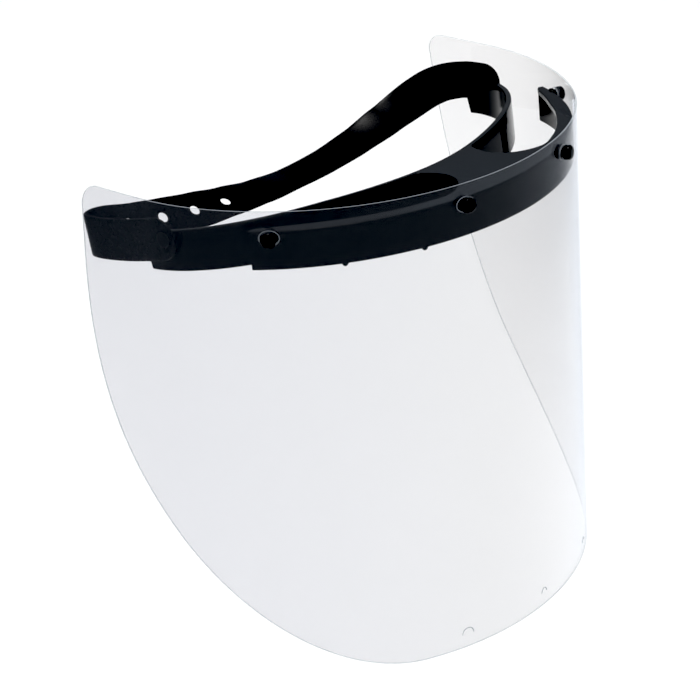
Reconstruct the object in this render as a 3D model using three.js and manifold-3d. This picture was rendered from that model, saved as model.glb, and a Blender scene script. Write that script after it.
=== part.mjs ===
// Face shield: a moulded frame, a clear wrapped visor and a buttoned rear strap.
// Millimetres, +Z up. The wearer faces -Y, so +X is the wearer's left.
// The origin is at the centre of the head opening, level with the brim's lower edge.
import * as THREE from "three";
import { mergeVertices } from "three/addons/utils/BufferGeometryUtils.js";
import Module from "manifold-3d";

const wasm = await Module();
wasm.setup();

const GAP = 0.3;                 // clearance between neighbouring solids
const WALL = 2.2;                // moulded wall thickness
const CHAMFER = 0.35;            // broken edges of the moulded bands
const TOP = 13.8;                // common top face of brim, plate and forehead band

const BRIM_A = 95.6;             // brim outer face: half width of its ellipse
const BRIM_B = 87.9;             // brim outer face: depth of its ellipse
const BRIM_END = 65;             // brim's free ends, degrees from the front
const NUB_R = 1.1;               // witness nubs under the brim
const NUB_ANGLES = [-27.6, -45.1];

const FOREHEAD = [53.0, 11.05, 8.66, -2.735];  // inner face radius = sum of c[i] * t^(2i)
const FOREHEAD_BOTTOM = -2.5;
const FOREHEAD_TILT = 1.5;       // lower edge stands this far outside the top edge
const ARM_START = 52;            // where the forehead band becomes a temple arm, degrees
const ARM_REAR_TOP = 6.6;        // slanted rear end of each arm
const ARM_REAR_BOTTOM = 3.1;
const ARM_SAG = [3.6, 1.4];      // rearward fall of each arm's top and bottom edge
const ARM_SAG_FROM = -41;        // the fall starts here and is full at the rear end, Y

const PLATE = 2.0;               // top plate thickness
const FLANGE = 5.8;              // top face width along the brim, wall included
const WEB_HALF = 13.2;           // half width of the web between the two openings
const RIB_ANGLE = 47.5;          // stiffening ribs on the forehead band
const RIB_W = 2.6;
const RIB_T = 0.9;

const PEG_ANGLES = [-60.3, -18.2, 16.6, 60.3];
const PEG_Z = 12.0;
const PEG_NECK = 1.7;
const PEG_R = 2.75;              // collar and head of the visor pegs
const PEG_COLLAR = 0.7;          // the visor is held between collar and head
const PEG_SLOT = 1.2;
const PEG_LENGTH = 4.8;

const VISOR_CLEAR = 1.3;         // visor inner face outside the brim
const VISOR_T = 0.6;
const VISOR_TOP = 19.2;          // top edge at the front
const VISOR_RISE = 6.6;          // top edge climbs this much by the rear edges
const VISOR_BOTTOM = -161;
const VISOR_REAR = 27.8;         // rear edges, Y
const VISOR_FLARE = 0.0130;      // spread of the legs, times distance behind the start ^ 1.2
const VISOR_FLARE_FROM = -45;
const VISOR_LEAN = 0.025;        // inward lean at the front, per millimetre of drop
const VISOR_SPLAY = [6, 6];      // outward lean of the rear edges over that, and its power
const VISOR_CORNER = 8;          // top rear corner radius
const VISOR_HOLE = 2.6;          // half height of the peg slots
const VISOR_SLOT = 1.3;          // slot width over height
const SWEEP_START = 60;          // flat bottom edge up to this arc length each side
const SWEEP_TOP = 4;           // rear edge is straight above this height
const SWEEP_POWER = [1.8, 2.2]; // shape of the swept lower corner

const STRAP_W = 14.8;
const STRAP_T = 1.1;
const STRAP_TIP = 7.0;           // corner radius of the strap's tips
const STRAP_PEG_Y = -6.3;
const STRAP_PEG_Z = 9.2;
const STRAP_PEG_NECK = 1.6;
const STRAP_X = 94.95;           // strap centreline beside the arms
const HOLE_PITCH = 14.6;
const HOLE_R = 2.3;
const HOLE_STEPS = [4, 5, 6, 7];
// centreline from the right tip round the back of the head to the left tip, with its twist
const STRAP_PATH = [
  [-STRAP_X, -10, 10.1, 0],
  [-STRAP_X, STRAP_PEG_Y, STRAP_PEG_Z, 0],
  [-STRAP_X - 0.2, 5, 6.9, 0],
  [-95.5, 16, 5.2, 0],
  [-95.9, 27, 4.4, 0],
  [-94.9, 32.2, 4.3, -4],
  [-88.5, 33.0, 4.2, -20],
  [-74.2, 31.0, 1.6, -34],
  [-61.5, 28.7, -0.2, -40],
  [-46.5, 26.6, -2.1, -48],
  [-32, 24.6, -3.3, -62],
  [-17, 22.5, -4.2, -72],
  [-1, 20.4, -4.0, -79],
  [16, 18, -2.4, -78],
  [33, 15.5, 0.8, -73],
  [50, 13.6, 4.8, -62],
  [71.5, 12.6, 9.0, -40],
  [82, 12.8, 9.5, -18],
  [90.6, 11.6, 9.1, -6],
  [94.2, 8.0, 9.1, 0],
  [STRAP_X + 0.1, 3.4, 9.3, 0],
  [STRAP_X, STRAP_PEG_Y, STRAP_PEG_Z, 0],
  [STRAP_X, -10, 9.2, 0],
];

const group = new THREE.Group();
const rad = THREE.MathUtils.degToRad;
const v3 = (x, y, z) => new THREE.Vector3(x, y, z);

const black = { color: 0x0b0c10, roughness: 0.3, metalness: 0 };
const rubber = { color: 0x101114, roughness: 0.55, metalness: 0 };
const clear = {
  color: 0xe9ecf2, roughness: 0.08, metalness: 0, transparent: true, opacity: 0.3,
  side: THREE.DoubleSide,
};

function add(name, geometry, look) {
  const mesh = new THREE.Mesh(geometry, new THREE.MeshStandardMaterial(look));
  mesh.name = name;
  group.add(mesh);
  return mesh;
}

// A closed solid through a row of rings, each a convex loop with the same number of points.
function loft(rings) {
  const n = rings[0].length;
  const index = [];
  for (let r = 0; r < rings.length - 1; r++) {
    for (let i = 0; i < n; i++) {
      const a = r * n + i;
      const b = r * n + ((i + 1) % n);
      index.push(a, b, b + n, a, b + n, a + n);
    }
  }
  const last = (rings.length - 1) * n;
  for (let i = 1; i < n - 1; i++) {
    index.push(0, i + 1, i, last, last + i, last + i + 1);
  }
  return closed(rings.flat(), index);
}

// Geometry from points and triangles, turned so that its faces point outwards.
function closed(points, index) {
  let volume = 0;
  for (let i = 0; i < index.length; i += 3) {
    const [a, b, c] = [points[index[i]], points[index[i + 1]], points[index[i + 2]]];
    volume += a.dot(v3().crossVectors(b, c));
  }
  if (volume < 0) index.reverse();
  const geometry = new THREE.BufferGeometry().setFromPoints(points);
  geometry.setIndex(index);
  const flat = geometry.toNonIndexed();
  flat.computeVertexNormals();
  return flat;
}

function toManifold(geometry) {
  const bare = new THREE.BufferGeometry();
  bare.setAttribute("position", geometry.getAttribute("position"));
  if (geometry.index) bare.setIndex(geometry.index);
  const merged = mergeVertices(bare, 1e-4);
  return new wasm.Manifold(new wasm.Mesh({
    numProp: 3,
    vertProperties: new Float32Array(merged.getAttribute("position").array),
    triVerts: new Uint32Array(merged.index.array),
  }));
}

function fromManifold(manifold) {
  const mesh = manifold.getMesh();
  const geometry = new THREE.BufferGeometry();
  geometry.setAttribute("position", new THREE.BufferAttribute(mesh.vertProperties, 3));
  geometry.setIndex(new THREE.BufferAttribute(mesh.triVerts, 1));
  const flat = geometry.toNonIndexed();
  flat.computeVertexNormals();
  return flat;
}

// A cylinder from a point along a direction, used for holes and nubs.
function rod(at, along, radius, length, sides = 24, stretch = 1) {
  const geometry = new THREE.CylinderGeometry(radius, radius, length, sides);
  geometry.scale(stretch, 1, 1);
  geometry.applyQuaternion(new THREE.Quaternion().setFromUnitVectors(v3(0, 1, 0), along));
  geometry.translate(at.x, at.y, at.z);
  return toManifold(geometry);
}

// Plan curves: a point and its outward normal at an angle from the front.
const ellipse = (a, b) => (t) => ({
  p: v3(a * Math.sin(t), -b * Math.cos(t), 0),
  n: v3(b * Math.sin(t), -a * Math.cos(t), 0).normalize(),
});

function foreheadRadius(t) {
  return FOREHEAD.reduce((sum, c, i) => sum + c * t ** (2 * i), 0);
}

function foreheadCurve(t) {
  const at = (u) => v3(foreheadRadius(u) * Math.sin(u), -foreheadRadius(u) * Math.cos(u), 0);
  const d = at(t + 1e-3).sub(at(t - 1e-3)).normalize();
  return { p: at(t), n: v3(d.y, -d.x, 0) };
}

// One cross-section of a standing wall: chamfered, from the inner face outwards.
function wallRing(curve, t, inner, outer, z0, z1, tilt = 0, bottomShift = 0) {
  const { p, n } = curve(t);
  const along = v3(-n.y, n.x, 0);
  const c = Math.min(CHAMFER, (outer - inner) / 4);
  const corner = (off, z) => {
    const drop = (z1 - z) / (z1 - z0);
    return p.clone().addScaledVector(n, off + tilt * drop)
      .addScaledVector(along, bottomShift * drop).setZ(z);
  };
  return [
    corner(inner, z0 + c), corner(inner, z1 - c), corner(inner + c, z1), corner(outer - c, z1),
    corner(outer, z1 - c), corner(outer, z0 + c), corner(outer - c, z0), corner(inner + c, z0),
  ];
}

const foreheadTilt = (t) => FOREHEAD_TILT * Math.cos(Math.min(Math.abs(t), Math.PI / 2));

function foreheadWall(from, to, steps, inner = 0, outer = WALL, z0 = FOREHEAD_BOTTOM, z1 = TOP) {
  const rings = [];
  for (let i = 0; i <= steps; i++) {
    const t = from + ((to - from) * i) / steps;
    rings.push(wallRing(foreheadCurve, t, inner, outer, z0, z1, foreheadTilt(t)));
  }
  return rings;
}

// ---- frame: forehead band, temple arms and ribs
const armStart = rad(ARM_START);
const halfGap = GAP / 2 / foreheadRadius(armStart);
add("forehead_band", loft(foreheadWall(-armStart + halfGap, armStart - halfGap, 40)), black);

for (const [side, sign] of [["right", -1], ["left", 1]]) {
  const rings = foreheadWall(sign * (armStart + halfGap), sign * rad(88), 16);
  const rear = wallRing(foreheadCurve, (sign * Math.PI) / 2, 0, WALL, FOREHEAD_BOTTOM, TOP);
  const drop = (point) => (TOP - point.z) / (TOP - FOREHEAD_BOTTOM);
  const slant = (point) => v3(
    point.x, ARM_REAR_TOP + (ARM_REAR_BOTTOM - ARM_REAR_TOP) * drop(point), point.z,
  );
  const sag = (point) => {
    const along = Math.max(0, point.y - ARM_SAG_FROM) / (ARM_REAR_TOP - ARM_SAG_FROM);
    const [top, bottom] = ARM_SAG;
    return point.clone().setZ(point.z - along * (top + (bottom - top) * drop(point)));
  };
  rings.push(rear, rear.map(slant));
  add(`temple_arm_${side}`, loft(rings.map((ring) => ring.map(sag))), black);

  const ribMiddle = rad(RIB_ANGLE);
  const ribHalf = RIB_W / 2 / foreheadRadius(ribMiddle);
  const base = WALL + GAP;
  add(`forehead_rib_${side}`, loft(foreheadWall(
    sign * (ribMiddle - ribHalf), sign * (ribMiddle + ribHalf), 2,
    base, base + RIB_T, FOREHEAD_BOTTOM + 0.5, TOP - 1.5,
  )), black);
}

// ---- frame: brim band with its witness nubs
const brimOuter = ellipse(BRIM_A, BRIM_B);
const brimRings = [];
for (let i = 0; i <= 64; i++) {
  brimRings.push(wallRing(brimOuter, rad(BRIM_END) * (i / 32 - 1), -WALL, 0, 0, TOP));
}
let brim = toManifold(loft(brimRings));
for (const angle of NUB_ANGLES) {
  const { p, n } = brimOuter(rad(angle));
  brim = brim.add(rod(p.clone().addScaledVector(n, -WALL / 2), n, NUB_R, WALL - 0.8, 16));
}
add("brim_band", fromManifold(brim), black);

// ---- frame: top plate, a web in the middle and a flange that tapers along the brim
const plateEdge = (t) => brimOuter(t).p.addScaledVector(brimOuter(t).n, -WALL - GAP);
function flangeEdge(t) {
  const taper = Math.min(1, (rad(BRIM_END) - Math.abs(t)) / rad(14));
  const width = (FLANGE - WALL - GAP) * Math.sqrt(Math.max(taper, 0.02));
  return brimOuter(t).p.addScaledVector(brimOuter(t).n, -WALL - GAP - width);
}
function foreheadFront(t) {
  const { p, n } = foreheadCurve(t);
  const tilt = (foreheadTilt(t) * PLATE) / (TOP - FOREHEAD_BOTTOM);
  return p.addScaledVector(n, WALL + tilt + GAP);
}
function plateShape() {
  const outline = [];
  const end = rad(BRIM_END - 1);
  const flangeStart = rad(26);
  const webEnd = rad(17);
  for (let i = 0; i <= 48; i++) outline.push(plateEdge(-end + (2 * end * i) / 48));
  for (let i = 0; i <= 18; i++) outline.push(flangeEdge(end - ((end - flangeStart) * i) / 18));
  const rim = foreheadFront(webEnd);
  const roundEnd = (sign) => new THREE.CatmullRomCurve3([
    flangeEdge(flangeStart), v3(28.5, -77.1, 0), v3(21, -75), v3(15.6, -70.5, 0),
    v3(WEB_HALF, -64.5, 0), v3(WEB_HALF + 0.6, -59.5, 0), rim,
  ].map((p) => v3(sign * p.x, p.y, 0))).getPoints(18);
  outline.push(...roundEnd(1).slice(1));
  for (let i = 1; i < 12; i++) outline.push(foreheadFront(webEnd * (1 - i / 6)));
  outline.push(...roundEnd(-1).reverse());
  for (let i = 1; i <= 18; i++) {
    outline.push(flangeEdge(-flangeStart - ((end - flangeStart) * i) / 18));
  }
  return new THREE.Shape(outline.map((p) => new THREE.Vector2(p.x, p.y)));
}
const plate = new THREE.ExtrudeGeometry(plateShape(), { depth: PLATE, bevelEnabled: false });
plate.translate(0, 0, TOP - PLATE);
add("bridge_plate", plate, black);

// ---- pegs, turned about Y and laid along their own direction
function peg(name, at, along, profile) {
  const geometry = new THREE.LatheGeometry(profile.map(([x, y]) => new THREE.Vector2(x, y)), 28);
  geometry.applyQuaternion(new THREE.Quaternion().setFromUnitVectors(v3(0, 1, 0), along));
  geometry.translate(at.x, at.y, at.z);
  add(name, geometry, black);
}
const visorPeg = [
  [0, 0], [PEG_R - 0.2, 0], [PEG_R - 0.2, PEG_COLLAR - 0.2], [PEG_R - 0.6, PEG_COLLAR],
  [PEG_NECK, PEG_COLLAR], [PEG_NECK, PEG_COLLAR + PEG_SLOT], [PEG_R - 0.3, PEG_COLLAR + PEG_SLOT],
  [PEG_R, PEG_COLLAR + PEG_SLOT + 0.3], [PEG_R, PEG_LENGTH - 1], [PEG_R * 0.85, PEG_LENGTH - 0.35],
  [PEG_R * 0.5, PEG_LENGTH], [0, PEG_LENGTH],
];
const button = (neck, length, head, thick) => [
  [0, 0], [neck, 0], [neck, length], [head - 0.3, length], [head, length + 0.3],
  [head * 0.93, length + thick * 0.7], [head * 0.6, length + thick], [0, length + thick],
];
const pegNames = ["right_outer", "right_inner", "left_inner", "left_outer"];
const pegSeats = PEG_ANGLES.map((angle) => {
  const { p, n } = brimOuter(rad(angle));
  return { at: p.clone().addScaledVector(n, GAP).setZ(PEG_Z), n };
});
pegSeats.forEach(({ at, n }, i) => {
  peg(`visor_peg_${pegNames[i]}`, at, n, visorPeg);
});
for (const [side, sign] of [["right", -1], ["left", 1]]) {
  const armOuter = foreheadRadius(Math.PI / 2) + WALL;
  const at = v3(sign * (armOuter + GAP), STRAP_PEG_Y, STRAP_PEG_Z);
  const neckLength = STRAP_X + STRAP_T / 2 + GAP - armOuter - GAP;
  peg(`strap_peg_${side}`, at, v3(sign, 0, 0), button(STRAP_PEG_NECK, neckLength, 3.0, 0.8));
}

// ---- visor: a sheet laid out by arc length, then wrapped round the plan curve
const visorInner = ellipse(BRIM_A + VISOR_CLEAR, BRIM_B + VISOR_CLEAR);
const quarter = Math.PI / 2;
function visorStations() {
  const side = [];
  for (let i = 0; i <= 40; i++) side.push(visorInner((quarter * i) / 40).p);
  const x = side[40].x;
  for (const y of [6, 12, 18, VISOR_REAR - VISOR_CORNER]) side.push(v3(x, y, 0));
  for (let i = 1; i <= 8; i++) {
    side.push(v3(x, VISOR_REAR - VISOR_CORNER * (1 - Math.sin((quarter * i) / 8)), 0));
  }
  for (const p of side) p.x += VISOR_FLARE * Math.max(0, p.y - VISOR_FLARE_FROM) ** 1.2;
  let arc = 0;
  return side.map((p, i) => {
    const before = i ? side[i - 1] : v3(-side[1].x, side[1].y, 0);
    const d = (side[i + 1] ?? p).clone().sub(before).normalize();
    if (i) arc += p.distanceTo(before);
    return { p, n: v3(d.y, -d.x, 0), arc };
  });
}
const half = visorStations();
const visorHalf = half.at(-1).arc;
function visorTop(s) {
  const inCorner = Math.max(0, s - (visorHalf - VISOR_CORNER)) / VISOR_CORNER;
  const round = VISOR_CORNER * (1 - Math.sqrt(Math.max(0, 1 - inCorner ** 2)));
  return VISOR_TOP + VISOR_RISE * (s / visorHalf) ** 2 - round;
}
function visorBottom(s) {
  const u = Math.max(0, s - SWEEP_START) / (visorHalf - SWEEP_START);
  const [p, q] = SWEEP_POWER;
  return SWEEP_TOP + (VISOR_BOTTOM - SWEEP_TOP) * Math.max(0, 1 - u ** p) ** (1 / q);
}
function visorSheet() {
  const mirror = ({ p, n, arc }) => ({ p: v3(-p.x, p.y, 0), n: v3(-n.x, n.y, 0), arc });
  const stations = [...half.slice(1).reverse().map(mirror), ...half];
  const rings = stations.map(({ p, n, arc }) => {
    const lean = VISOR_LEAN * (1 - VISOR_SPLAY[0] * (arc / visorHalf) ** VISOR_SPLAY[1]);
    const at = (off, z) => p.clone().addScaledVector(n, off - lean * (VISOR_TOP - z)).setZ(z);
    const [z0, z1] = [visorBottom(arc), visorTop(arc)];
    return [at(0, z0), at(0, z1), at(VISOR_T, z1), at(VISOR_T, z0)];
  });
  let sheet = toManifold(loft(rings));
  for (const { at, n } of pegSeats) {
    sheet = sheet.subtract(rod(at, n, VISOR_HOLE, 8, 32, VISOR_SLOT));
  }
  return fromManifold(sheet);
}
add("visor", visorSheet(), clear);

// ---- rear strap: a flat belt swept along its centreline, with buttonholes
const centre = new THREE.CatmullRomCurve3(
  STRAP_PATH.map(([x, y, z]) => v3(x, y, z)), false, "centripetal",
);
function twistAt(u) {
  const k = u * (STRAP_PATH.length - 1);
  const i = Math.min(Math.floor(k), STRAP_PATH.length - 2);
  const f = k - i;
  const ease = f * f * (3 - 2 * f);
  return rad(STRAP_PATH[i][3] * (1 - ease) + STRAP_PATH[i + 1][3] * ease);
}
function strapFrame(u) {
  const tangent = centre.getTangent(u);
  const up = v3(0, 0, 1).addScaledVector(tangent, -tangent.z).normalize();
  up.applyAxisAngle(tangent, twistAt(u));
  return { p: centre.getPoint(u), up, out: v3().crossVectors(tangent, up) };
}
const arcTo = (u) => {
  let [length, from] = [0, centre.getPoint(0)];
  for (let i = 1; i <= 400; i++) {
    const to = centre.getPoint((u * i) / 400);
    length += to.distanceTo(from);
    from = to;
  }
  return length;
};
const strapLength = arcTo(1);
function atArc(target) {
  let [low, high] = [0, 1];
  for (let i = 0; i < 30; i++) {
    const middle = (low + high) / 2;
    if (arcTo(middle) < target) low = middle;
    else high = middle;
  }
  return (low + high) / 2;
}
function strapBelt() {
  const rings = [];
  const steps = 150;
  for (let i = 0; i <= steps; i++) {
    const { p, up, out } = strapFrame(i / steps);
    const s = Math.min(arcTo(i / steps), strapLength - arcTo(i / steps));
    const inTip = Math.max(0, STRAP_TIP - s);
    const round = STRAP_TIP - Math.sqrt(Math.max(0, STRAP_TIP ** 2 - inTip ** 2));
    const h = STRAP_W / 2 - round;
    const corner = (a, b) => p.clone().addScaledVector(up, a * h)
      .addScaledVector(out, (b * STRAP_T) / 2);
    rings.push([corner(-1, -1), corner(1, -1), corner(1, 1), corner(-1, 1)]);
  }
  let belt = toManifold(loft(rings));
  const cut = (u, radius) => {
    const { p, out } = strapFrame(u);
    belt = belt.subtract(rod(p, out, radius, 6, 20));
  };
  const firstPeg = arcTo(1 / (STRAP_PATH.length - 1));
  for (const k of HOLE_STEPS) cut(atArc(firstPeg + k * HOLE_PITCH), HOLE_R);
  for (const sign of [-1, 1]) {
    belt = belt.subtract(rod(v3(sign * STRAP_X, STRAP_PEG_Y, STRAP_PEG_Z), v3(1, 0, 0), HOLE_R, 4, 20));
  }
  return fromManifold(belt);
}
add("rear_strap", strapBelt(), rubber);

export default group;
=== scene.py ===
# Looks for the face shield: one moulded black frame, a clear wrapped visor and a buttoned strap.
# Sizes below are millimetres in the CAD frame, the same values as in part.mjs.
import math

import bmesh
import bpy
from mathutils import Matrix, Vector
from mathutils.geometry import delaunay_2d_cdt


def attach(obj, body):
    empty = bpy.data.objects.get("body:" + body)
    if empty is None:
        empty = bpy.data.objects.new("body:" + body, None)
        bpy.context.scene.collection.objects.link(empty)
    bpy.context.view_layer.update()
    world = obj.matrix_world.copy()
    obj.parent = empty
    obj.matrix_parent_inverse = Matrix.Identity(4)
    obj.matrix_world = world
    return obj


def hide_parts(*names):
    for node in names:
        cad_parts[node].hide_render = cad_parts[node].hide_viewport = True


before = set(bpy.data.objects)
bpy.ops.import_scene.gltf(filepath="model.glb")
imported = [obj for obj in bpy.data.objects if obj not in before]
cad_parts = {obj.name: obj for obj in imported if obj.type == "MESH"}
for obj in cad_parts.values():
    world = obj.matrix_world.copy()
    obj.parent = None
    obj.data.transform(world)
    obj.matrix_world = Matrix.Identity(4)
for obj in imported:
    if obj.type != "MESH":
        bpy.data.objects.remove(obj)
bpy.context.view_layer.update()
MM = 0.001

# frame
WALL = 2.2
TOP = 13.8
BRIM_A, BRIM_B = 95.6, 87.9
BRIM_END = math.radians(65)
FOREHEAD = (53.0, 11.05, 8.66, -2.735)
BOTTOM = -2.5
TILT = 1.5
REAR_TOP, REAR_BOTTOM = 6.6, 3.1
SAG_TOP, SAG_BOTTOM, SAG_FROM = 3.6, 1.4, -41.0
PLATE = 2.0
FLANGE = 5.8
WEB_EDGE = ((28.5, -77.1), (21.0, -75.0), (15.6, -70.5), (13.2, -64.5), (13.8, -59.5))
WEB_ANGLE = math.radians(17)
FLANGE_START = math.radians(26)
EDGE_R = 0.45
CORNER_R = 0.7
RIB_ANGLE = math.radians(47.5)
NUB_ANGLES = (-27.6, -45.1)

# pegs
PEG_ANGLES = (-60.3, -18.2, 16.6, 60.3)
PEG_Z = 12.0
PEG_R, PEG_NECK, PEG_COLLAR, PEG_SLOT, PEG_LENGTH = 2.75, 1.7, 1.0, 1.2, 5.1

# visor
VISOR_CLEAR, VISOR_T = 1.3, 0.6
VISOR_TOP, VISOR_RISE, VISOR_BOTTOM = 19.2, 6.6, -161.0
VISOR_REAR, VISOR_CORNER, VISOR_LEAN, VISOR_SPLAY = 27.8, 8.0, 0.025, (6, 6)
VISOR_FLARE, VISOR_FLARE_FROM = 0.0130, -45.0
VISOR_HOLE, VISOR_SLOT = 2.6, 1.3
GLINT_RING_W = 0.28         # painted highlight: a ring round each hole where its cut edge catches light
MARKS = ((-41, 5.0, 2.6), (0, 3.2, 1.8), (42, 3.2, 1.8))    # place, width and height
MARK_Z = -155.5
SWEEP_START, SWEEP_TOP, SWEEP_POWER = 60.0, 4.0, (1.8, 2.2)

# strap
STRAP_W, STRAP_T, STRAP_TIP = 14.8, 1.1, 7.0
STRAP_PEG_Y, STRAP_PEG_Z, STRAP_X = -6.3, 9.2, 94.95
HOLE_PITCH, HOLE_R, HOLE_STEPS = 14.6, 2.3, (4, 5, 6, 7)
STRAP_PATH = (
    (-STRAP_X, -10, 10.1, 0), (-STRAP_X, STRAP_PEG_Y, STRAP_PEG_Z, 0),
    (-STRAP_X - 0.2, 5, 6.9, 0), (-95.5, 16, 5.2, 0), (-95.9, 27, 4.4, 0),
    (-94.9, 32.2, 4.3, -4), (-88.5, 33.0, 4.2, -20), (-74.2, 31.0, 1.6, -34),
    (-61.5, 28.7, -0.2, -40), (-46.5, 26.6, -2.1, -48), (-32, 24.6, -3.3, -62),
    (-17, 22.5, -4.2, -72), (-1, 20.4, -4.0, -79), (16, 18, -2.4, -78), (33, 15.5, 0.8, -73),
    (50, 13.6, 4.8, -62), (71.5, 12.6, 9.0, -40), (82, 12.8, 9.5, -18), (90.6, 11.6, 9.1, -6),
    (94.2, 8.0, 9.1, 0), (STRAP_X + 0.1, 3.4, 9.3, 0), (STRAP_X, STRAP_PEG_Y, STRAP_PEG_Z, 0),
    (STRAP_X, -10, 9.2, 0),
)

# camera: direction from the object, roll, and where the line of sight passes the origin
CAM_AZ, CAM_EL, CAM_ROLL = (math.radians(a) for a in (-48.316, 23.979, -5.928))
CAM_DISTANCE, CAM_X, CAM_Y = 740.4, 6.604, -65.67
CAM_LENS = 101.5
STUDIO = 0.30           # the room's own light
FLOOR_WATTS = 17.6
BLACK = 0.021           # the tone that prints as black


# ---- camera, floor and light
def aim(back, right, up, distance, x, y):
    """A camera matrix: the camera sits at distance along back, moved x right and y up."""
    place = (back * distance + right * x + up * y) * MM
    turn = Matrix((right, up, back)).transposed()
    return Matrix.Translation(place) @ turn.to_4x4()


def make_camera():
    back = Vector((math.sin(CAM_AZ) * math.cos(CAM_EL), -math.cos(CAM_AZ) * math.cos(CAM_EL),
                   math.sin(CAM_EL)))
    flat_right = Vector((math.cos(CAM_AZ), math.sin(CAM_AZ), 0))
    flat_up = back.cross(flat_right)
    c, s = math.cos(CAM_ROLL), math.sin(CAM_ROLL)
    right, up = c * flat_right + s * flat_up, c * flat_up - s * flat_right
    data = bpy.data.cameras.new("camera")
    data.lens, data.sensor_width = CAM_LENS, 36.0
    data.clip_start, data.clip_end = 0.05, 20.0
    camera = bpy.data.objects.new("camera", data)
    camera.matrix_world = aim(back, right, up, CAM_DISTANCE, CAM_X, CAM_Y)
    bpy.context.scene.collection.objects.link(camera)
    bpy.context.scene.camera = camera


def area_light(name, place, target, size, power, color=(1, 1, 1)):
    data = bpy.data.lights.new(name, "AREA")
    data.shape = "RECTANGLE"
    data.size, data.size_y = size
    data.energy, data.color = power, color
    light = bpy.data.objects.new(name, data)
    light.location = place
    light.rotation_euler = (Vector(target) - Vector(place)).to_track_quat("-Z", "Y").to_euler()
    light.visible_camera = False
    bpy.context.scene.collection.objects.link(light)
    return light


def nodes_of(material):
    material.use_nodes = True
    tree = material.node_tree
    return tree, tree.nodes, tree.links


def back_place(distance, height, right):
    """A place behind the object as the camera sees it."""
    back = Vector((math.sin(CAM_AZ), -math.cos(CAM_AZ), 0))
    side = Vector((math.cos(CAM_AZ), math.sin(CAM_AZ), 0))
    p = side * right - back * distance
    return p.x, p.y, height


def make_stage():
    floor = bpy.data.meshes.new("floor")
    bm = bmesh.new()
    bmesh.ops.create_circle(bm, cap_ends=True, segments=96, radius=6.0)
    bmesh.ops.translate(bm, verts=bm.verts, vec=(0, 0, -0.42))
    bm.to_mesh(floor)
    bm.free()
    obj = bpy.data.objects.new("floor", floor)
    bpy.context.scene.collection.objects.link(obj)
    material = bpy.data.materials.new("floor_white")
    tree, nodes, links = nodes_of(material)
    shader = nodes["Principled BSDF"]
    shader.inputs["Base Color"].default_value = (0.95, 0.95, 0.95, 1)
    shader.inputs["Roughness"].default_value = 0.9
    shader.inputs["Specular IOR Level"].default_value = 0.1
    floor.materials.append(material)

    world = bpy.data.worlds.new("studio")
    bpy.context.scene.world = world
    world.use_nodes = True
    background = world.node_tree.nodes["Background"]
    background.inputs["Color"].default_value = (0.86, 0.92, 1.0, 1)
    background.inputs["Strength"].default_value = STUDIO
    back = Vector((math.sin(CAM_AZ), -math.cos(CAM_AZ), 0))
    middle = -back * 2.35
    light = area_light("floor_panel", (middle.x, middle.y, 1.1), (middle.x, middle.y, -1),
                       (1.5, 4.7), FLOOR_WATTS, (1.0, 0.985, 0.965))
    light.data.spread = math.radians(26)
    light.rotation_euler = (0, 0, CAM_AZ)
    area_light("overhead", (-0.3, -0.3, 1.5), (0, 0, 0), (1.6, 1.6), 7)
    area_light("rear_window", back_place(1.6, 0.95, 0.25), (0, 0, 0), (0.35, 0.7), 0.12,
               (0.62, 0.80, 1.0))
    settings = bpy.context.scene.view_settings
    settings.view_transform, settings.look = "Standard", "None"
    settings.exposure, settings.gamma = 0.0, 1.0
    settings.use_curve_mapping = True
    settings.curve_mapping.black_level = (BLACK, BLACK, BLACK)
    settings.curve_mapping.update()


# ---- materials
def noise(nodes, links, scale, detail=4.0, stretch=(1, 1, 1), seed=0.0):
    """Noise in the object's own metres; stretch lengthens it along an axis."""
    coord = nodes.new("ShaderNodeTexCoord")
    mapping = nodes.new("ShaderNodeMapping")
    mapping.inputs["Scale"].default_value = stretch
    mapping.inputs["Location"].default_value = (seed, seed * 1.7, seed * 2.3)
    links.new(coord.outputs["Object"], mapping.inputs["Vector"])
    texture = nodes.new("ShaderNodeTexNoise")
    texture.inputs["Scale"].default_value = scale
    texture.inputs["Detail"].default_value = detail
    links.new(mapping.outputs["Vector"], texture.inputs["Vector"])
    return texture.outputs["Fac"]


def remap(nodes, links, value, low, high, out_low, out_high):
    node = nodes.new("ShaderNodeMapRange")
    for name, number in (("From Min", low), ("From Max", high),
                         ("To Min", out_low), ("To Max", out_high)):
        node.inputs[name].default_value = number
    links.new(value, node.inputs["Value"])
    return node.outputs["Result"]


def ramp(nodes, links, value, stops):
    node = nodes.new("ShaderNodeValToRGB")
    elements = node.color_ramp.elements
    while len(elements) < len(stops):
        elements.new(0.5)
    for element, (position, color) in zip(elements, stops):
        element.position, element.color = position, (*color, 1)
    links.new(value, node.inputs["Fac"])
    return node.outputs["Color"]


def bump(nodes, links, shader, height, strength, distance, after=None):
    node = nodes.new("ShaderNodeBump")
    node.inputs["Strength"].default_value = strength
    node.inputs["Distance"].default_value = distance
    links.new(height, node.inputs["Height"])
    if after is not None:
        links.new(after, node.inputs["Normal"])
    links.new(node.outputs["Normal"], shader.inputs["Normal"])
    return node.outputs["Normal"]


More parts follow.
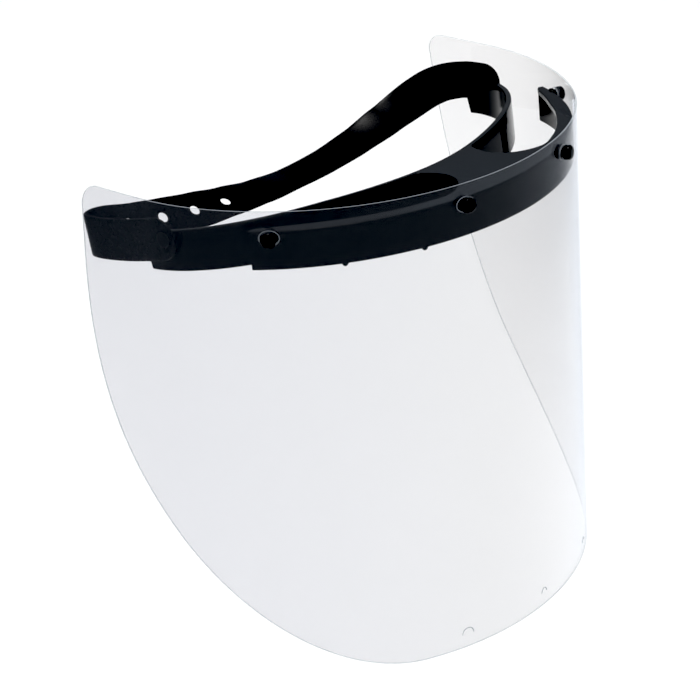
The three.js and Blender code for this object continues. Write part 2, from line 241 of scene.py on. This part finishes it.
def moulded_black():
    """Polished injection-moulded plastic: flow mottling and fine scratches."""
    material = bpy.data.materials.new("moulded_black")
    tree, nodes, links = nodes_of(material)
    shader = nodes["Principled BSDF"]
    mottle = noise(nodes, links, 90, 3)
    color = ramp(nodes, links, mottle, [(0.3, (0.0018, 0.0019, 0.0026)),
                                        (0.75, (0.0042, 0.0044, 0.0060))])
    links.new(color, shader.inputs["Base Color"])
    scratch = noise(nodes, links, 420, 2, (1, 1, 9), 3.1)
    rough = remap(nodes, links, scratch, 0.35, 0.75, 0.10, 0.19)
    links.new(rough, shader.inputs["Roughness"])
    shader.inputs["Specular IOR Level"].default_value = 0.18
    shader.inputs["IOR"].default_value = 1.5
    first = bump(nodes, links, shader, noise(nodes, links, 55, 2, (1, 1, 1), 1.3), 0.03, 0.0003)
    bump(nodes, links, shader, noise(nodes, links, 1600, 2), 0.03, 0.00004, first)
    return material


def strap_black():
    """Soft moulded belt: satin, with a fine leathery grain."""
    material = bpy.data.materials.new("strap_black")
    tree, nodes, links = nodes_of(material)
    shader = nodes["Principled BSDF"]
    mottle = noise(nodes, links, 60, 4)
    color = ramp(nodes, links, mottle, [(0.3, (0.0020, 0.0021, 0.0028)),
                                        (0.8, (0.0050, 0.0053, 0.0070))])
    links.new(color, shader.inputs["Base Color"])
    grain = noise(nodes, links, 900, 3, (1, 1, 1), 2.2)
    rough = remap(nodes, links, grain, 0.3, 0.7, 0.26, 0.31)
    links.new(rough, shader.inputs["Roughness"])
    shader.inputs["Specular IOR Level"].default_value = 0.15
    bump(nodes, links, shader, grain, 0.05, 0.00003)
    return material


def clear_shader(nodes, links, rough):
    """Light goes straight through with a tint, lightened from one side of the sheet to the other
    as a painted reflection of the studio light; each face mirrors by its angle, from both sides."""
    through = nodes.new("ShaderNodeBsdfTransparent")
    coord = nodes.new("ShaderNodeTexCoord")
    axes = nodes.new("ShaderNodeSeparateXYZ")
    links.new(coord.outputs["Object"], axes.inputs["Vector"])
    # painted reflection: the tint lightens along X for the studio light mirrored in the sheet,
    # over its faint real lilac tint
    across = remap(nodes, links, axes.outputs["X"], -0.1, 0.1, 0, 1)
    tint = ramp(nodes, links, across, [(0.0, (0.876, 0.878, 0.893)), (0.35, (0.902, 0.902, 0.906)),
                                       (0.7, (0.932, 0.929, 0.930)), (1.0, (0.966, 0.962, 0.960))])
    links.new(tint, through.inputs["Color"])
    mirror = nodes.new("ShaderNodeBsdfGlossy")
    mirror.inputs["Color"].default_value = (0.93, 0.96, 1.0, 1)
    smear = noise(nodes, links, 30, 3)
    links.new(remap(nodes, links, smear, 0.3, 0.7, rough, rough * 2.5), mirror.inputs["Roughness"])
    wave = nodes.new("ShaderNodeBump")
    wave.inputs["Strength"].default_value = 0.04
    wave.inputs["Distance"].default_value = 0.001
    links.new(noise(nodes, links, 12, 1, (1, 1, 1), 4.0), wave.inputs["Height"])
    links.new(wave.outputs["Normal"], mirror.inputs["Normal"])
    side = nodes.new("ShaderNodeNewGeometry")
    index = remap(nodes, links, side.outputs["Backfacing"], 0, 1, 1.45, 1 / 1.45)
    fresnel = nodes.new("ShaderNodeFresnel")
    links.new(index, fresnel.inputs["IOR"])
    mix = nodes.new("ShaderNodeMixShader")
    links.new(fresnel.outputs["Fac"], mix.inputs["Fac"])
    links.new(through.outputs["BSDF"], mix.inputs[1])
    links.new(mirror.outputs["BSDF"], mix.inputs[2])
    return mix.outputs["Shader"]


def visor_clear():
    """Thin clear sheet with a faint lilac-blue tint and a painted reflection lightening it towards
    one side.
    """
    material = bpy.data.materials.new("visor_clear")
    tree, nodes, links = nodes_of(material)
    nodes.remove(nodes["Principled BSDF"])
    shader = clear_shader(nodes, links, 0.03)
    links.new(shader, nodes["Material Output"].inputs["Surface"])
    return material


def visor_edge_glint():
    """The sheet's cut edge, painted light blue-white as a highlight of the light it gathers,
    streaked along the cut.
    """
    material = bpy.data.materials.new("visor_edge_glint")
    tree, nodes, links = nodes_of(material)
    shader = nodes["Principled BSDF"]
    cut = noise(nodes, links, 900, 2, (1, 1, 0.1), 5.0)
    # light blue-white base colour: a painted highlight for light caught in the cut edge
    color = ramp(nodes, links, cut, [(0.3, (0.72, 0.77, 0.84)), (0.7, (0.90, 0.93, 0.97))])
    links.new(color, shader.inputs["Base Color"])
    links.new(remap(nodes, links, cut, 0.3, 0.7, 0.25, 0.45), shader.inputs["Roughness"])
    shader.inputs["Alpha"].default_value = 0.5
    return material


# ---- mesh helpers
def piece(name, bm, materials, body, nodes, sharp=40):
    """A finished piece: smooth shaded, riding on its body and standing for its CAD nodes."""
    bmesh.ops.remove_doubles(bm, verts=bm.verts, dist=1e-6)
    bmesh.ops.recalc_face_normals(bm, faces=bm.faces)
    mesh = bpy.data.meshes.new(name)
    bm.to_mesh(mesh)
    bm.free()
    mesh.polygons.foreach_set("use_smooth", [True] * len(mesh.polygons))
    mesh.set_sharp_from_angle(angle=math.radians(sharp))
    for material in materials:
        mesh.materials.append(material)
    obj = bpy.data.objects.new(name, mesh)
    bpy.context.scene.collection.objects.link(obj)
    weighted = obj.modifiers.new("weighted_normals", "WEIGHTED_NORMAL")
    weighted.keep_sharp = True
    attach(obj, body)
    if nodes:
        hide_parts(*nodes)
    return obj


def bridge(bm, row_a, row_b, around=True):
    """Quads between two rows of vertices."""
    n = len(row_a)
    for i in range(n if around else n - 1):
        j = (i + 1) % n
        corners = [row_a[i], row_a[j], row_b[j], row_b[i]]
        distinct = list(dict.fromkeys(corners))
        if len(distinct) > 2:
            bm.faces.new(distinct)


def inside(point, loop):
    hit = False
    for a, b in zip(loop, loop[1:] + loop[:1]):
        if (a.y > point.y) != (b.y > point.y):
            if point.x < (b.x - a.x) * (point.y - a.y) / (b.y - a.y) + a.x:
                hit = not hit
    return hit


def fill(bm, loop):
    """Triangles across a closed loop of vertices that lies roughly flat in plan."""
    flat = [Vector((v.co.x, v.co.y)) / MM for v in loop]
    n = len(flat)
    points, _, faces, sources, *_ = delaunay_2d_cdt(
        flat, [(i, (i + 1) % n) for i in range(n)], [], 0, 1e-5)
    for face in faces:
        centre = sum((points[i] for i in face), Vector((0, 0))) / len(face)
        if inside(centre, flat):
            bm.faces.new([loop[sources[i][0]] for i in face])


def insets(loop):
    """For a counter-clockwise closed loop of 2D points, the inward step at each point."""
    steps = []
    n = len(loop)
    for i in range(n):
        before, here, after = loop[i - 1], loop[i], loop[(i + 1) % n]
        a = (here - before).normalized()
        b = (after - here).normalized()
        left_a, left_b = Vector((-a.y, a.x)), Vector((-b.y, b.x))
        middle = (left_a + left_b).normalized()
        steps.append(middle / max(0.6, middle.dot(left_a)))
    return steps


def catmull(points, count):
    """A smooth centripetal curve through the points, ends included."""
    out = []
    padded = [2 * points[0] - points[1], *points, 2 * points[-1] - points[-2]]
    for k in range(len(points) - 1):
        for i in range(count):
            out.append(catmull_at(padded[k:k + 4], i / count))
    return out + [points[-1]]


def catmull_at(four, w):
    dt = [max((four[i + 1] - four[i]).length ** 0.5, 1e-4) for i in range(3)]
    p0, p1, p2, p3 = four
    t1 = ((p1 - p0) / dt[0] - (p2 - p0) / (dt[0] + dt[1]) + (p2 - p1) / dt[1]) * dt[1]
    t2 = ((p2 - p1) / dt[1] - (p3 - p1) / (dt[1] + dt[2]) + (p3 - p2) / dt[2]) * dt[1]
    return (p1 + t1 * w + (3 * (p2 - p1) - 2 * t1 - t2) * w * w
            + (2 * (p1 - p2) + t1 + t2) * w ** 3)


# ---- plan curves, each giving a point and its outward normal
def ellipse(a, b, t):
    normal = Vector((b * math.sin(t), -a * math.cos(t))).normalized()
    return Vector((a * math.sin(t), -b * math.cos(t))), normal


def brim(t, off=0.0):
    p, n = ellipse(BRIM_A, BRIM_B, t)
    return p + n * off


def forehead(t, off=0.0):
    def at(u):
        r = sum(c * u ** (2 * i) for i, c in enumerate(FOREHEAD))
        return Vector((r * math.sin(u), -r * math.cos(u)))
    d = (at(t + 1e-3) - at(t - 1e-3)).normalized()
    return at(t) + Vector((d.y, -d.x)) * off


# ---- the moulded frame, one skin over bands, arms, web and flange
class Column:
    """A point of the frame's plan. The forehead band leans out, sags and ends on a slant."""

    def __init__(self, p, lean=None, band=False):
        self.p, self.lean, self.band = p, lean or Vector((0, 0)), band

    def at(self, z, inset):
        drop = (TOP - z) / (TOP - BOTTOM)
        q = self.p + self.lean * drop + inset
        if self.band and self.p.y > 0:
            q.y += (REAR_BOTTOM - REAR_TOP) * drop * self.p.y / REAR_TOP
        if self.band:
            along = max(0.0, q.y - SAG_FROM) / (REAR_TOP - SAG_FROM)
            z -= along * (SAG_TOP + (SAG_BOTTOM - SAG_TOP) * drop)
        return Vector((q.x, q.y, z)) * MM


def band_column(t, off):
    p = forehead(t, off)
    lean = (forehead(t, 1) - forehead(t, 0)) * TILT * math.cos(t)
    return Column(p, lean, band=True)


def span(a, b, n):
    return [a + (b - a) * i / n for i in range(n + 1)]


def arm_end(side):
    """Columns round an arm's slanted rear end, from its outer to its inner face."""
    inner = abs(forehead(math.pi / 2).x)
    corners = [(inner + WALL - CORNER_R, 0), (inner + CORNER_R, 90)]
    out = []
    for x, start in corners:
        for turn in span(start, start + 90, 3):
            a = math.radians(turn)
            p = Vector((side * (x + CORNER_R * math.cos(a)),
                        REAR_TOP - CORNER_R * (1 - math.sin(a))))
            out.append(Column(p, band=True))
    return out


def arm_straight(side, off, steps=3):
    x = abs(forehead(math.pi / 2).x) + off
    return [Column(Vector((side * x, y)), band=True)
            for y in span(0, REAR_TOP - CORNER_R, steps)[1:-1]]


def flange_edge(t):
    taper = max(0.0, min(1.0, (BRIM_END - abs(t)) / math.radians(14)))
    return brim(t, -WALL - (FLANGE - WALL) * math.sqrt(taper))


def frame_plan():
    """Columns of the frame's outlines: brim faces, flange edge, web edge and forehead faces."""
    quarter = math.pi / 2
    outer_t = span(-BRIM_END, BRIM_END, 96)
    brim_out = [Column(brim(t)) for t in outer_t]
    brim_in = [Column(brim(t, -WALL)) for t in outer_t]
    end_cap = {s: [Column(brim(s * BRIM_END, -WALL * f)) for f in (0.25, 0.5, 0.75)]
               for s in (-1, 1)}
    web_root = forehead(WEB_ANGLE, WALL)
    edge = catmull([flange_edge(FLANGE_START), *(Vector(p) for p in WEB_EDGE), web_root], 6)
    flange_t = span(BRIM_END, FLANGE_START, 40)[1:-1]
    side_edge = [flange_edge(t) for t in flange_t] + edge[:-1]
    edges = {s: [Column(Vector((s * p.x, p.y))) for p in side_edge] for s in (-1, 1)}
    web_t, arm_t = span(-WEB_ANGLE, WEB_ANGLE, 16), span(WEB_ANGLE, quarter, 48)
    web_root_out = [band_column(t, WALL) for t in web_t]
    out_right = [band_column(-t, WALL) for t in arm_t]
    out_left = [band_column(t, WALL) for t in arm_t]
    inner = [band_column(t, 0) for t in span(quarter, -quarter, 112)]
    left_arm = arm_straight(1, WALL) + arm_end(1) + arm_straight(1, 0)[::-1]
    right_arm = arm_straight(-1, 0) + arm_end(-1)[::-1] + arm_straight(-1, WALL)[::-1]
    top = (brim_out + end_cap[1] + [brim_in[-1]] + edges[1] + out_left + left_arm + inner
           + right_arm + out_right[::-1] + edges[-1][::-1] + [brim_in[0]] + end_cap[-1][::-1])
    wall = brim_out + end_cap[1] + brim_in[::-1] + end_cap[-1][::-1]
    band = (out_right[::-1] + web_root_out[1:-1] + out_left + left_arm + inner + right_arm)
    under = brim_in + edges[1] + web_root_out[::-1] + edges[-1][::-1]
    return top, wall, band, under


def rounded_end(bm, loop, z_from, z_end):
    """Carries a closed loop of columns from z_from to a cap at z_end, its edge rounded over."""
    steps = insets([c.p for c in loop])
    up = 1 if z_end > z_from else -1
    rows = [[bm.verts.new(c.at(z_from, Vector((0, 0)))) for c in loop]]
    for k in range(6):
        turn = math.radians(90) * k / 5
        inset, z = EDGE_R * (1 - math.cos(turn)), z_end - up * EDGE_R * (1 - math.sin(turn))
        rows.append([bm.verts.new(c.at(z, s * inset)) for c, s in zip(loop, steps)])
    for a, b in zip(rows, rows[1:]):
        bridge(bm, a, b)
    fill(bm, rows[-1])


def turned(bm, profile, place, along, sides=40):
    """A closed turned shape from (radius, height) pairs, laid along a direction."""
    turn = Vector((0, 0, 1)).rotation_difference(along).to_matrix()
    rows = []
    for radius, height in profile:
        count = 1 if radius < 1e-6 else sides
        ring = [Vector((radius * math.cos(2 * math.pi * i / sides),
                        radius * math.sin(2 * math.pi * i / sides), height))
                for i in range(count)]
        ring = [bm.verts.new((place + turn @ v) * MM) for v in ring]
        rows.append(ring if count > 1 else ring * sides)
    for a, b in zip(rows, rows[1:]):
        bridge(bm, a, b)


def smooth_profile(points, r=0.25):
    """Rounds the inner corners of a turned profile with short chamfers."""
    out = [points[0]]
    for before, here, after in zip(points, points[1:], points[2:]):
        a, b = Vector(before) - Vector(here), Vector(after) - Vector(here)
        cut = min(r, a.length * 0.45, b.length * 0.45)
        start, end = Vector(here) + a.normalized() * cut, Vector(here) + b.normalized() * cut
        for w in (0, 0.33, 0.67, 1):
            out.append(tuple((start * (1 - w) ** 2) + 2 * w * (1 - w) * Vector(here)
                             + end * w ** 2))
    return out + [points[-1]]


def upright_bar(bm, centre, normal, width, depth, z0, z1, r=0.35):
    """A rounded bar standing on a wall, centred on a point of its face."""
    side = Vector((-normal.y, normal.x))
    half = width / 2
    loop = []
    for sx, sy, start in ((1, 1, 0), (-1, 1, 90), (-1, -1, 180), (1, -1, 270)):
        for k in range(4):
            a = math.radians(start + 30 * k)
            u = sx * (half - r) + r * math.cos(a)
            v = depth / 2 + sy * (depth / 2 - r) + r * math.sin(a)
            loop.append(centre + side * u + normal * v)
    middle = sum(loop, Vector((0, 0))) / len(loop)
    rows = []
    for z, scale in ((z0, 0.6), (z0 + 0.15, 0.85), (z0 + 0.5, 1), (z1 - 0.5, 1),
                     (z1 - 0.15, 0.85), (z1, 0.6)):
        lean = normal * TILT * math.cos(RIB_ANGLE) * (TOP - z) / (TOP - BOTTOM)
        rows.append([bm.verts.new(Vector((*(middle + (p - middle) * scale + lean), z)) * MM)
                     for p in loop])
    for a, b in zip(rows, rows[1:]):
        bridge(bm, a, b)
    bm.faces.new(rows[0])
    bm.faces.new(rows[-1])


def make_frame(material):
    bm = bmesh.new()
    top, wall, band, under = frame_plan()
    rounded_end(bm, top, TOP - PLATE, TOP)
    rounded_end(bm, wall, TOP - PLATE, 0)
    rounded_end(bm, band, TOP - PLATE, BOTTOM)
    fill(bm, [bm.verts.new(c.at(TOP - PLATE, Vector((0, 0)))) for c in under])
    bmesh.ops.remove_doubles(bm, verts=bm.verts, dist=1e-6)
    for side in (-1, 1):
        t = side * RIB_ANGLE
        normal = (forehead(t, 1) - forehead(t, 0)).normalized()
        upright_bar(bm, forehead(t, WALL - 0.3), normal, 2.6, 1.5, BOTTOM + 0.5, TOP - 1.5)
    for angle in NUB_ANGLES:
        t = math.radians(angle)
        normal = ellipse(BRIM_A, BRIM_B, t)[1]
        profile = smooth_profile([(0, 0), (1.1, 0), (1.1, 1.4), (0, 1.4)], 0.3)
        start = brim(t, -WALL + 0.4)
        turned(bm, profile, Vector((start.x, start.y, 0.0)), normal.to_3d(), 24)
    piece("frame_shell", bm, [material], "shield",
          ["forehead_band", "temple_arm_right", "temple_arm_left", "forehead_rib_right",
           "forehead_rib_left", "brim_band", "bridge_plate"])


def make_pegs(material):
    names = ("right_outer", "right_inner", "left_inner", "left_outer")
    slot_top = PEG_COLLAR + PEG_SLOT
    visor_peg = smooth_profile([
        (0, -0.5), (PEG_R - 0.2, -0.5), (PEG_R - 0.2, PEG_COLLAR), (PEG_NECK, PEG_COLLAR),
        (PEG_NECK, slot_top), (PEG_R, slot_top), (PEG_R, PEG_LENGTH - 0.8),
        (PEG_R * 0.72, PEG_LENGTH), (0, PEG_LENGTH)], 0.4)
    for name, angle in zip(names, PEG_ANGLES):
        t = math.radians(angle)
        p, n = ellipse(BRIM_A, BRIM_B, t)
        bm = bmesh.new()
        turned(bm, visor_peg, Vector((p.x, p.y, PEG_Z)), n.to_3d())
        piece(f"visor_stud_{name}", bm, [material], "shield", [f"visor_peg_{name}"])
    arm_outer = abs(forehead(math.pi / 2).x) + WALL
    under_head = STRAP_X + STRAP_T / 2 + 0.3 - arm_outer
    button = smooth_profile([(0, -0.5), (1.6, -0.5), (1.6, under_head), (3.0, under_head),
                             (2.9, under_head + 0.8), (0, under_head + 0.95)], 0.3)
    for name, side in (("right", -1), ("left", 1)):
        bm = bmesh.new()
        turned(bm, button, Vector((side * arm_outer, STRAP_PEG_Y, STRAP_PEG_Z)),
               Vector((side, 0, 0)))
        piece(f"strap_button_{name}", bm, [material], "shield",
              [f"strap_peg_{name}"])


# ---- sheets cut flat, with holes, and then wrapped to shape
def wrapped_sheet(outline, holes, grid, wrap, thickness, rim, edge_index=0, glint_rings=()):
    """A sheet cut to an outline with holes, meshed on a grid and wrapped by wrap(s, h, depth).
    Its cut edges are rounded over by the share rim of the thickness. Its edges, and the rings
    round its holes, take the material of edge_index; on the visor that material is a painted
    highlight."""
    loops = [outline, *holes, *glint_rings]
    coords, edges = [], []
    for loop in loops:
        start = len(coords)
        coords += loop
        edges += [(start + i, start + (i + 1) % len(loop)) for i in range(len(loop))]
    coords += grid
    points, _, faces, *_ = delaunay_2d_cdt(coords, edges, [], 0, 1e-5)
    bm = bmesh.new()
    levels = [0.0, 0.15, 0.5, 0.85, 1.0]
    back, front, kept = {}, {}, []
    for face in faces:
        centre = sum((points[i] for i in face), Vector((0, 0))) / len(face)
        if inside(centre, outline) and not any(inside(centre, hole) for hole in holes):
            kept.append(face)
    for i in {i for face in kept for i in face}:
        p = points[i]
        back[i] = bm.verts.new(wrap(p.x, p.y, 0.0))
        front[i] = bm.verts.new(wrap(p.x, p.y, thickness))
    rim_edges = {}
    for face in kept:
        skins = (bm.faces.new([front[i] for i in face]),
                 bm.faces.new([back[i] for i in reversed(face)]))
        centre = sum((points[i] for i in face), Vector((0, 0))) / len(face)
        if any(inside(centre, glint_ring) for glint_ring in glint_rings):
            skins[0].material_index = edge_index
        for a, b in zip(face, face[1:] + face[:1]):
            if (b, a) in rim_edges:
                del rim_edges[(b, a)]
            else:
                rim_edges[(a, b)] = True
    push = {}
    for a, b in rim_edges:
        d = (points[b] - points[a]).normalized()
        for i in (a, b):
            push[i] = push.get(i, Vector((0, 0))) + Vector((d.y, -d.x))
    rows = {}
    for i, out in push.items():
        out = out.normalized()
        row = [back[i]]
        for level in levels[1:-1]:
            reach = rim * thickness * math.sin(math.pi * level) ** 0.6
            q = points[i] + out * reach
            row.append(bm.verts.new(wrap(q.x, q.y, thickness * level)))
        rows[i] = row + [front[i]]
    for a, b in rim_edges:
        for k in range(len(levels) - 1):
            edge = bm.faces.new((rows[a][k], rows[b][k], rows[b][k + 1], rows[a][k + 1]))
            edge.material_index = edge_index
    return bm


def ring(s, h, rs, rh, count=36):
    return [Vector((s + rs * math.cos(2 * math.pi * i / count),
                    h + rh * math.sin(2 * math.pi * i / count))) for i in range(count)]


# ---- visor
def visor_side():
    """Plan points of half the visor from the front to its rear edge, with arc length."""
    a, b = BRIM_A + VISOR_CLEAR, BRIM_B + VISOR_CLEAR
    side = [ellipse(a, b, math.pi / 2 * i / 90)[0] for i in range(91)]
    side += [Vector((a, y)) for y in span(0, VISOR_REAR, 20)[1:]]
    for p in side:
        p.x += VISOR_FLARE * max(0.0, p.y - VISOR_FLARE_FROM) ** 1.2
    arcs = [0.0]
    for p, q in zip(side, side[1:]):
        arcs.append(arcs[-1] + (q - p).length)
    return side, arcs


VISOR_SIDE, VISOR_ARC = visor_side()
VISOR_HALF = VISOR_ARC[-1]


def visor_plan(s):
    """Point and outward normal of the visor's inner face at signed arc length s."""
    mirror = -1 if s < 0 else 1
    s = min(abs(s), VISOR_HALF + 1)
    k = next((i for i, a in enumerate(VISOR_ARC) if a > s), len(VISOR_ARC) - 1)
    a, b = VISOR_SIDE[k - 1], VISOR_SIDE[k]
    w = (s - VISOR_ARC[k - 1]) / (VISOR_ARC[k] - VISOR_ARC[k - 1])

    def normal_at(i):
        after = VISOR_SIDE[min(i + 1, len(VISOR_SIDE) - 1)]
        before = VISOR_SIDE[i - 1] if i else Vector((-VISOR_SIDE[1].x, VISOR_SIDE[1].y))
        d = (after - before).normalized()
        return Vector((d.y, -d.x))
    p, n = a.lerp(b, w), normal_at(k - 1).lerp(normal_at(k), w).normalized()
    return Vector((mirror * p.x, p.y)), Vector((mirror * n.x, n.y))


def visor_wrap(s, h, depth):
    p, n = visor_plan(s)
    lean = VISOR_LEAN * (1 - VISOR_SPLAY[0] * abs(s / VISOR_HALF) ** VISOR_SPLAY[1])
    q = p + n * (depth - lean * (VISOR_TOP - h))
    return Vector((q.x, q.y, h)) * MM


def visor_top(s):
    s = abs(s)
    in_corner = max(0.0, s - (VISOR_HALF - VISOR_CORNER)) / VISOR_CORNER
    drop = VISOR_CORNER * (1 - math.sqrt(max(0.0, 1 - in_corner ** 2)))
    return VISOR_TOP + VISOR_RISE * (s / VISOR_HALF) ** 2 - drop


def visor_bottom(s):
    u = max(0.0, abs(s) - SWEEP_START) / (VISOR_HALF - SWEEP_START)
    p, q = SWEEP_POWER
    return SWEEP_TOP + (VISOR_BOTTOM - SWEEP_TOP) * max(0.0, 1 - u ** p) ** (1 / q)


def visor_outline():
    """Half outline stations crowd towards the rear edge, where the corners turn."""
    shares = [math.sin(math.pi / 2 * i / 110) for i in range(111)]
    half = [VISOR_HALF * u for u in shares]
    bottom = [Vector((s, visor_bottom(s))) for s in half]
    top = [Vector((s, visor_top(s))) for s in half]
    rear = [Vector((VISOR_HALF, h)) for h in span(bottom[-1].y, top[-1].y, 8)[1:-1]]
    right = bottom + rear + top[::-1]
    left = [Vector((-p.x, p.y)) for p in right[::-1]]
    return right + left[1:-1]


def peg_arc(angle):
    """Arc length on the visor beside a peg."""
    p, n = ellipse(BRIM_A, BRIM_B, math.radians(abs(angle)))
    target = p + n * VISOR_CLEAR
    best = min(range(len(VISOR_SIDE)), key=lambda i: (VISOR_SIDE[i] - target).length)
    a, b = VISOR_SIDE[best - 1], VISOR_SIDE[best]
    along = (target - a).dot(b - a) / (b - a).length
    return math.copysign(VISOR_ARC[best - 1] + along, angle)


def make_visor(materials):
    outline = visor_outline()
    holes = [ring(peg_arc(a), PEG_Z, VISOR_HOLE * VISOR_SLOT, VISOR_HOLE) for a in PEG_ANGLES]
    grid = []
    for s in span(-VISOR_HALF, VISOR_HALF, 130)[1:-1]:
        low, high = visor_bottom(s) + 1.5, visor_top(s) - 1.5
        for h in span(low, high, max(2, round((high - low) / 10))):
            if all(((s - peg_arc(a)) / 5) ** 2 + ((h - PEG_Z) / 4.2) ** 2 > 1
                   for a in PEG_ANGLES):
                grid.append(Vector((s, h)))
    # rings round each hole that take the edge's painted highlight
    glint_rings = [ring(peg_arc(a), PEG_Z, VISOR_HOLE * VISOR_SLOT + GLINT_RING_W, VISOR_HOLE + GLINT_RING_W)
               for a in PEG_ANGLES]
    bm = wrapped_sheet(outline, holes, grid, visor_wrap, VISOR_T, 0.25, 1, glint_rings)
    piece("visor_sheet", bm, materials, "shield", ["visor"], sharp=60)


# ---- strap
STRAP_POINTS = [Vector(p[:3]) for p in STRAP_PATH]
STRAP_PADDED = [2 * STRAP_POINTS[0] - STRAP_POINTS[1], *STRAP_POINTS,
                2 * STRAP_POINTS[-1] - STRAP_POINTS[-2]]


def strap_point(u):
    k = min(max(u, -0.05) * (len(STRAP_POINTS) - 1), len(STRAP_POINTS) - 1 + 0.2)
    i = min(max(int(k), 0), len(STRAP_POINTS) - 2)
    return catmull_at(STRAP_PADDED[i:i + 4], k - i)


def strap_twist(u):
    k = min(max(u, 0), 1) * (len(STRAP_PATH) - 1)
    i = min(int(k), len(STRAP_PATH) - 2)
    f = k - i
    ease = f * f * (3 - 2 * f)
    return math.radians(STRAP_PATH[i][3] * (1 - ease) + STRAP_PATH[i + 1][3] * ease)


STRAP_STEPS = 2400
STRAP_ARC = [0.0]
for step in range(STRAP_STEPS):
    STRAP_ARC.append(STRAP_ARC[-1] + (strap_point((step + 1) / STRAP_STEPS)
                                      - strap_point(step / STRAP_STEPS)).length)


def strap_u(s):
    """The curve parameter at arc length s, by bisection of the table."""
    low, high = 0, STRAP_STEPS
    while high - low > 1:
        middle = (low + high) // 2
        if STRAP_ARC[middle] <= s:
            low = middle
        else:
            high = middle
    part = (s - STRAP_ARC[low]) / (STRAP_ARC[high] - STRAP_ARC[low])
    return (low + part) / STRAP_STEPS


def strap_wrap(s, h, depth):
    u = strap_u(s)
    tangent = (strap_point(u + 1e-4) - strap_point(u - 1e-4)).normalized()
    up = (Vector((0, 0, 1)) - tangent * tangent.z).normalized()
    up.rotate(Matrix.Rotation(strap_twist(u), 3, tangent))
    out = tangent.cross(up)
    return (strap_point(u) + up * h + out * (depth - STRAP_T / 2)) * MM


def make_strap(material):
    length, half = STRAP_ARC[-1], STRAP_W / 2
    corner = [(STRAP_TIP * (1 - math.cos(math.radians(a))), STRAP_TIP * (1 - math.sin(
        math.radians(a)))) for a in range(0, 91, 9)]
    tip = [Vector((c, half - d)) for c, d in corner]
    upper = tip + [Vector((s, half)) for s in span(STRAP_TIP, length - STRAP_TIP, 260)[1:-1]]
    upper += [Vector((length - p.x, p.y)) for p in tip[::-1]]
    outline = [Vector((p.x, -p.y)) for p in upper] + upper[::-1]
    first = STRAP_ARC[round(STRAP_STEPS / (len(STRAP_PATH) - 1))]
    last = STRAP_ARC[round(STRAP_STEPS * (len(STRAP_PATH) - 2) / (len(STRAP_PATH) - 1))]
    spots = [first, last, *(first + k * HOLE_PITCH for k in HOLE_STEPS)]
    holes = [ring(s, 0, HOLE_R, HOLE_R, 28) for s in spots]
    grid = []
    for s in span(2.5, length - 2.5, 250):
        for h in (-5.9, -3.4, -1.1, 1.1, 3.4, 5.9):
            if all(math.hypot(s - c, h) > HOLE_R + 0.7 for c in spots):
                grid.append(Vector((s, h)))
    bm = wrapped_sheet(outline, holes, grid, strap_wrap, STRAP_T, 0.3)
    piece("head_strap", bm, [material], "strap", ["rear_strap"], sharp=60)


# ---- small raised arches near the visor's lower edge
def make_marks(material):
    """Three low open arches on the outer face, each a rounded rib that follows the sheet."""
    bm = bmesh.new()
    for s, width, height in MARKS:
        rows = []
        for k in range(17):
            a = math.pi * k / 16
            x, y = s - width / 2 * math.cos(a), MARK_Z + height * math.sin(a)
            out = Vector((-math.cos(a) * height, math.sin(a) * width / 2)).normalized()
            row = []
            for i in range(8):
                b = 2 * math.pi * i / 8
                q = Vector((x, y)) + out * 0.22 * math.cos(b)
                row.append(bm.verts.new(visor_wrap(q.x, q.y, VISOR_T + 0.1 + 0.12 * math.sin(b))))
            rows.append(row)
        for a, b in zip(rows, rows[1:]):
            bridge(bm, a, b)
        bm.faces.new(rows[0])
        bm.faces.new(rows[-1])
    piece("visor_marks", bm, [material], "shield", [], sharp=60)


make_camera()
make_stage()
black = moulded_black()
make_frame(black)
make_pegs(black)
# the edge material paints a highlight on the cut edges, the rings round the holes and the arches
edge = visor_edge_glint()
make_visor([visor_clear(), edge])
# the arches take the edge's painted highlight
make_marks(edge)
make_strap(strap_black())
